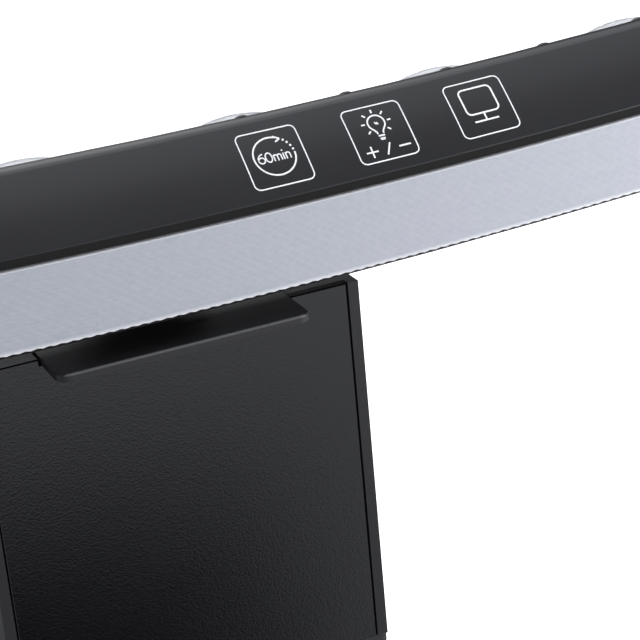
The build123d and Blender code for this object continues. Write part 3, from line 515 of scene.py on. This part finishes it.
FINISHES = {
    "housing_plastic": satin_housing(),
    "box_plastic": moulded("grained_plate", (0.003, 0.003, 0.004), 0.13, 0.28, 0.006, 0.30, dust=0.02),
    "hook_metal": powder_coat(),
    "pin_steel": machined("ground_steel", (0.60, 0.60, 0.62), 0.28, 0.05),
    "weight_steel": machined("plated_weight", (0.42, 0.42, 0.43), 0.42, 0.3, 12.0),
    "spring_steel": machined("drawn_spring_wire", (0.50, 0.50, 0.52), 0.3, 0.04),
    "screw_steel": moulded("black_oxide", (0.03, 0.03, 0.032), 0.34, 0.1, 0.004, 0.2, specular=0.7),
    "washer_brass": machined("plain_brass", (0.72, 0.58, 0.30), 0.3, 0.06),
    "silicone": moulded("grip_silicone", (0.035, 0.035, 0.037), 0.75, 0.12, 0.01, 0.12),
    "bumper_rubber": moulded("bumper_rubber", (0.014, 0.014, 0.015), 0.8, 0.2, 0.012, 0.15),
    "tape": moulded("foam_tape", (0.72, 0.72, 0.70), 0.9, 0.3, 0.03, 0.06),
    "diffuser_acrylic": prism_acrylic(),
    "lens_clear": frosted_lens(),
    "reflector_film": moulded("reflector_film", (0.88, 0.88, 0.88), 0.55, 0.2, 0.003, 0.03),
    "aluminium": machined("mill_aluminium", (0.72, 0.73, 0.75), 0.35, 0.12, 60.0),
    "board_white": circuit_board("white_board", (0.82, 0.83, 0.81)),
    "board_green": circuit_board("green_board", (0.03, 0.17, 0.08)),
    "led": led_package(),
    "copper": machined("tinned_copper", (0.80, 0.52, 0.34), 0.3, 0.08),
    "component_black": moulded("component_black", (0.02, 0.02, 0.022), 0.5, 0.15, 0.006, 0.2),
    "bearing_plastic": moulded("bearing_plastic", (0.70, 0.70, 0.67), 0.4, 0.2, 0.004, 0.05),
}

OWN_FINISHES = {
    "box_shell": moulded("rougher_box", (0.012, 0.012, 0.013), 0.55, 0.30, 0.010, 0.25, specular=0.3),
}

for entry in frame["record"]["subparts"]:
    mesh = frame["nodes"][entry["node"]].data
    mesh.materials.clear()
    mesh.materials.append(OWN_FINISHES.get(entry["node"], FINISHES[entry["material_slot"]]))


# ---- prism diffuser
def prism_heights(along, down):
    """Depth of the prism face below the strip's outer plane. Across a row it is a triangle wave. Along a
    row each dash is a flat-topped pulse, and every second row is set off by half a dash."""
    row = np.floor(down / PRISM_ROW)
    across = down / PRISM_ROW - row
    dash = np.mod(along / PRISM_DASH + 0.5 * np.mod(row, 2), 1.0)
    ridge = 1 - np.abs(2 * across - 1)
    pulse = np.clip(np.minimum(dash, 1 - dash) * PRISM_SAMPLES, 0, 1)
    return PRISM_DEPTH * (1 - ridge * pulse)


def prism_diffuser():
    """A loop round the strip's section, carried along the bar: the prism face, two rounded long edges with
    quarter circles of radius EDGE_R, and the flat back."""
    rows = int((STRIP_W - 2 * EDGE_R) / PRISM_ROW)
    margin = (STRIP_W - rows * PRISM_ROW) / 2
    face_down = np.arange(rows * PRISM_SAMPLES + 1) * PRISM_ROW / PRISM_SAMPLES
    quarter = np.linspace(0, pi / 2, 5)
    top_down = EDGE_R - EDGE_R * np.cos(quarter)
    top_depth = EDGE_R - EDGE_R * np.sin(quarter)
    step = PRISM_DASH / PRISM_SAMPLES
    along = np.arange(-int(BAR_HALF / step), int(BAR_HALF / step) + 1) * step
    along = np.concatenate([[-BAR_HALF], along, [BAR_HALF]])
    down = np.concatenate([[0.0], top_down, face_down + margin, STRIP_W - top_down[::-1], [STRIP_W]])
    down = np.repeat(down[None], len(along), 0)
    tooth = np.abs(2 * np.mod(along / PRISM_DASH, 1.0) - 1)
    down[:, -1 - len(quarter):] -= NOTCH_DEPTH * tooth[:, None]
    depth = np.concatenate([[DIFFUSER_T], top_depth, face_down * 0, top_depth[::-1], [DIFFUSER_T]])
    depth = np.repeat(depth[None], len(along), 0)
    face = slice(1 + len(quarter), 1 + len(quarter) + len(face_down))
    depth[:, face] = prism_heights(along[:, None], face_down[None])
    rings = bar_points(np.repeat(along[:, None], down.shape[1], 1), strip_section(down, depth))
    points, faces = loft(rings)
    piece = new_piece("prism_diffuser", points, faces, FINISHES["diffuser_acrylic"], "lamp_bar",
                      True)
    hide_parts("front_diffuser")


prism_diffuser()


# ---- touch symbols, drawn in millimetres about each symbol's centre, x right and y down the face
def arc(centre, radius, start, end, count=24):
    """Points on a circle from one clock angle to another, in degrees clockwise from straight up."""
    angle = np.radians(np.linspace(start, end, count))
    return np.stack([centre[0] + radius * np.sin(angle), centre[1] - radius * np.cos(angle)], -1)


def rounded_frame(centre, width, height, radius):
    """Outline of a rounded rectangle: four quarter circles, each about its own corner centre."""
    corners = []
    for start, side_x, side_y in ((0, 1, -1), (90, 1, 1), (180, -1, 1), (270, -1, -1)):
        middle = (centre[0] + side_x * (width / 2 - radius), centre[1] + side_y * (height / 2 - radius))
        corners.append(arc(middle, radius, start, start + 90, 7))
    return np.concatenate(corners)


def refined(path, closed):
    """The same path with its longer runs cut into equal steps."""
    ends = np.concatenate([path, path[:1]]) if closed else path
    distance = np.concatenate([[0.0], np.cumsum(np.linalg.norm(np.diff(ends, axis=0), axis=1))])
    extra = np.arange(0.0, distance[-1], INK_STEP)
    gap = np.abs(extra[:, None] - distance[None]).min(1)
    places = np.sort(np.concatenate([distance, extra[gap > INK_STEP / 3]]))
    dense = np.stack([np.interp(places, distance, ends[:, 0]), np.interp(places, distance, ends[:, 1])], -1)
    return dense[:-1] if closed else dense


def stroke(path, width, closed=False):
    """A printed line: a flat rectangle carried along a path, square to it at each point."""
    path = refined(np.asarray(path, float), closed)
    if closed:
        ahead, behind = np.roll(path, -1, 0), np.roll(path, 1, 0)
    else:
        ahead = np.concatenate([path[1:], path[-1:]])
        behind = np.concatenate([path[:1], path[:-1]])
    run = ahead - behind
    run /= np.linalg.norm(run, axis=1, keepdims=True)
    side = np.stack([-run[:, 1], run[:, 0]], -1) * width / 2
    edge = np.stack([path + side, path - side, path - side, path + side], 1)
    proud = np.repeat([[INK_PROUD, INK_PROUD, -INK_SUNK, -INK_SUNK]], len(path), 0)
    return edge, proud, closed


def dot(centre, radius):
    """A printed dot, as a short stack of shrinking and growing widths along a line."""
    angle = np.linspace(0.15, pi - 0.15, 9)
    middle = np.stack([centre[0] - radius * np.cos(angle), np.full(9, centre[1])], -1)
    side = np.stack([np.zeros(9), radius * np.sin(angle)], -1)
    edge = np.stack([middle + side, middle - side, middle - side, middle + side], 1)
    proud = np.repeat([[INK_PROUD, INK_PROUD, -INK_SUNK, -INK_SUNK]], 9, 0)
    return edge, proud, False


def timer_marks():
    """A ring closing clockwise with an arrowhead and four dots, and its time in minutes."""
    ring = 3.27
    marks = [stroke(arc((0, -0.2), ring, 22, -270, 60), INK_BOLD)]
    tip = arc((0, -0.2), ring, 34, 34, 1)[0]
    for back in ((-0.95, -0.62), (-0.80, 0.42)):
        marks.append(stroke([tip + back, tip], INK_BOLD))
    marks += [dot(arc((0, -0.2), ring, angle, angle, 1)[0], 0.18) for angle in (44, 56, 68.5, 81)]
    top, low, x_top = -0.95, 0.70, -0.40
    marks.append(stroke(arc((-2.15, 0.17), 0.50, 0, 360, 21)[:-1], INK_THIN, True))
    marks.append(stroke([(-1.75, top), (-2.3, -0.72), (-2.6, -0.3), (-2.65, 0.17)], INK_THIN))
    oval = arc((0, 0), 0.5, 0, 360, 21)[:-1] * (1.0, 0.82 / 0.5) + (-0.95, (top + low) / 2)
    marks.append(stroke(oval, INK_THIN, True))
    marks.append(stroke([(-0.15, x_top), (-0.15, low)], INK_THIN))
    for left in (-0.15, 0.43):
        arch = arc((left + 0.29, x_top + 0.33), 0.29, -90, 90, 9)
        marks.append(stroke(np.concatenate([arch, [(left + 0.58, low)]]), INK_THIN))
    marks.append(stroke([(1.4, x_top), (1.4, low)], INK_THIN))
    marks.append(dot((1.4, top + 0.08), 0.13))
    marks.append(stroke([(1.8, x_top), (1.8, low)], INK_THIN))
    arch = arc((2.12, x_top + 0.36), 0.32, -90, 90, 9)
    marks.append(stroke(np.concatenate([arch, [(2.44, low)]]), INK_THIN))
    return marks


def lamp_marks():
    """A bulb with seven rays, and plus, slash and minus below it."""
    bulb, centre = 1.38, np.array([0.04, -1.66])
    neck_left, neck_right = centre + (-0.5, 1.95), centre + (0.5, 1.95)
    outline = np.concatenate([[neck_left, neck_left - (0, 0.3)], arc(centre, bulb, -138, 138, 36),
                              [neck_right - (0, 0.3), neck_right]])
    marks = [stroke(outline, INK_BOLD)]
    marks += [stroke([arc(centre, 1.86, a, a, 1)[0], arc(centre, 2.46, a, a, 1)[0]], INK_BOLD)
              for a in np.arange(-3, 4) * 43.5]
    marks.append(stroke([centre + (-0.52, 2.28), centre + (0.52, 2.28)], INK_BOLD))
    marks.append(stroke([centre + (-0.38, 2.75), centre + (-0.28, 2.98), centre + (0.28, 2.98),
                         centre + (0.38, 2.75), centre + (-0.38, 2.75)], INK_THIN))
    marks.append(stroke([centre + (-0.25, -0.2), centre + (-0.08, 0.25), centre + (0.08, -0.1),
                         centre + (0.25, 0.3)], INK_THIN))
    plus, minus = np.array([-2.52, 3.05]), np.array([2.92, 3.05])
    marks.append(stroke([plus - (0.98, 0), plus + (0.98, 0)], INK_BOLD))
    marks.append(stroke([plus - (0, 0.98), plus + (0, 0.98)], INK_BOLD))
    marks.append(stroke([minus - (0.98, 0), minus + (0.98, 0)], INK_BOLD))
    marks.append(stroke([(0.72, 2.08), (-0.27, 4.0)], INK_BOLD))
    return marks


def screen_marks():
    """A screen on a short stem and a base bar."""
    centre = (0.02, -1.24)
    return [
        stroke(rounded_frame(centre, 5.5, 4.57, 0.8), 0.27, True),
        stroke([(-0.08, 1.05), (-0.08, 2.37)], 0.27),
        stroke([(-2.15, 2.40), (1.98, 2.40)], 0.27),
    ]


def symbol(name, marks, place):
    """The marks inside their rounded square, laid on the crowned face at a place along the bar."""
    outer = rounded_frame((0, 0), FRAME_SIDE, FRAME_SIDE, FRAME_R)
    parts = []
    for edge, proud, closed in [stroke(outer, INK_THIN, True)] + marks:
        section = face_section(SYMBOL_ALONG + edge[..., 1], proud)
        parts.append(loft(bar_points(place + edge[..., 0], section), closed))
    points, faces = joined(parts)
    new_piece(name, points, faces, INK, "lamp_bar", False)


INK = printed_ink()
for order, (name, marks) in enumerate((("symbol_timer", timer_marks()), ("symbol_lamp", lamp_marks()),
                                       ("symbol_screen", screen_marks()))):
    symbol(name, marks, SYMBOL_FIRST + SYMBOL_PITCH * order)


# ---- stage
def floor():
    """A wide plain pale floor well below the bar."""
    mesh = bpy.data.meshes.new("floor")
    corners = [(x * FLOOR_HALF, y * FLOOR_HALF, FLOOR_LEVEL) for x, y in ((-1, -1), (1, -1), (1, 1), (-1, 1))]
    mesh.from_pydata(corners, [], [(0, 1, 2, 3)])
    material, _, shader, _ = new_finish("pale_floor", specular=0.2)
    shader.inputs["Base Color"].default_value = (0.9, 0.9, 0.9, 1)
    shader.inputs["Roughness"].default_value = 0.9
    shader.inputs["Emission Color"].default_value = (1, 1, 1, 1)
    shader.inputs["Emission Strength"].default_value = 0.75
    mesh.materials.append(material)
    plane = bpy.data.objects.new("floor", mesh)
    bpy.context.scene.collection.objects.link(plane)
    plane.visible_diffuse = False
    plane.visible_glossy = False


def soft_surroundings():
    """White to look at. As a light it is a faintly cool studio: a soft source overhead, a narrow bright
    band in front at eye level, a pale desk below that is brighter to the right, and dimmer panels behind
    and at the left. Each is a range of the direction's X, Y or Z."""
    world = bpy.data.worlds.new("studio")
    bpy.context.scene.world = world
    world.use_nodes = True
    tree = world.node_tree
    tree.nodes.clear()
    split = add(tree, "ShaderNodeSeparateXYZ")
    wire(tree, add(tree, "ShaderNodeTexCoord").outputs["Generated"], split.inputs[0])
    rightward, backward, upward = (split.outputs[axis] for axis in "XYZ")
    overhead = compute(tree, "MULTIPLY", spread(tree, upward, 0.45, 0.85),
                       spread(tree, backward, -0.26, -0.06, 0.27, 2.0))
    desk = spread(tree, upward, -0.465, -0.385, 0.0, 1.2)
    side = spread(tree, rightward, 0.28, 0.36, 0.0, 1.0)
    below = spread(tree, upward, 0.0, -0.05)
    low = compute(tree, "MULTIPLY", below, compute(tree, "MAXIMUM", desk, side))
    level = compute(tree, "MULTIPLY", spread(tree, upward, 0.0, 0.06), spread(tree, upward, 0.34, 0.22))
    window = compute(tree, "MULTIPLY", level, spread(tree, backward, -0.5, -0.7, 0.0, 2.5))
    behind = spread(tree, backward, 0.86, 0.96, 0.0, 0.7)
    left = spread(tree, rightward, -0.60, -0.85, 0.0, 0.7)
    light = compute(tree, "ADD", compute(tree, "ADD", overhead, low), window)
    light = compute(tree, "MAXIMUM", light, compute(tree, "MAXIMUM", behind, left))
    seen = add(tree, "ShaderNodeLightPath").outputs["Is Camera Ray"]
    strength = compute(tree, "MAXIMUM", light, seen)
    shown = add(tree, "ShaderNodeBackground")
    wire(tree, mixed(tree, seen, STUDIO_COOL, (1.0, 1.0, 1.0)), shown.inputs["Color"])
    wire(tree, strength, shown.inputs["Strength"])
    out = add(tree, "ShaderNodeOutputWorld")
    wire(tree, shown.outputs[0], out.inputs[0])


def soft_light(name, place, size, power):
    """A square soft light turned to the frame's origin, in the middle of the ledge."""
    data = bpy.data.lights.new(name, "AREA")
    data.size = size
    data.energy = power
    lamp = bpy.data.objects.new(name, data)
    bpy.context.scene.collection.objects.link(lamp)
    lamp.location = place
    lamp.rotation_euler = Vector(place).to_track_quat("Z", "Y").to_euler()


floor()
soft_surroundings()
soft_light("right_key", (0.25, -0.17, 0.03), 0.12, 0.75)
soft_light("back_top", (0.10, 0.80, 0.90), 0.8, 3.0)


# ---- camera
def camera():
    """Looks down and to the right at the clip from the left, rolled a little clockwise."""
    low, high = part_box("front_plate")
    back = Vector((sin(VIEW_AZIMUTH) * cos(VIEW_ELEVATION), -cos(VIEW_AZIMUTH) * cos(VIEW_ELEVATION),
                   sin(VIEW_ELEVATION)))
    level = Vector((cos(VIEW_AZIMUTH), sin(VIEW_AZIMUTH), 0))
    upright = back.cross(level)
    right = cos(VIEW_ROLL) * level + sin(VIEW_ROLL) * upright
    up = cos(VIEW_ROLL) * upright - sin(VIEW_ROLL) * level
    aim = Vector((0, low.y, high.z)) + VIEW_AIM[0] * right + VIEW_AIM[1] * up
    data = bpy.data.cameras.new("view")
    data.lens = LENS_MM
    data.sensor_width = 36.0
    data.clip_start = 0.01
    eye = bpy.data.objects.new("view", data)
    bpy.context.scene.collection.objects.link(eye)
    turn = Matrix((right, up, back)).transposed().to_4x4()
    eye.matrix_world = Matrix.Translation(aim + VIEW_DISTANCE * back) @ turn
    bpy.context.scene.camera = eye


camera()
bpy.context.scene.view_settings.view_transform = "Standard"
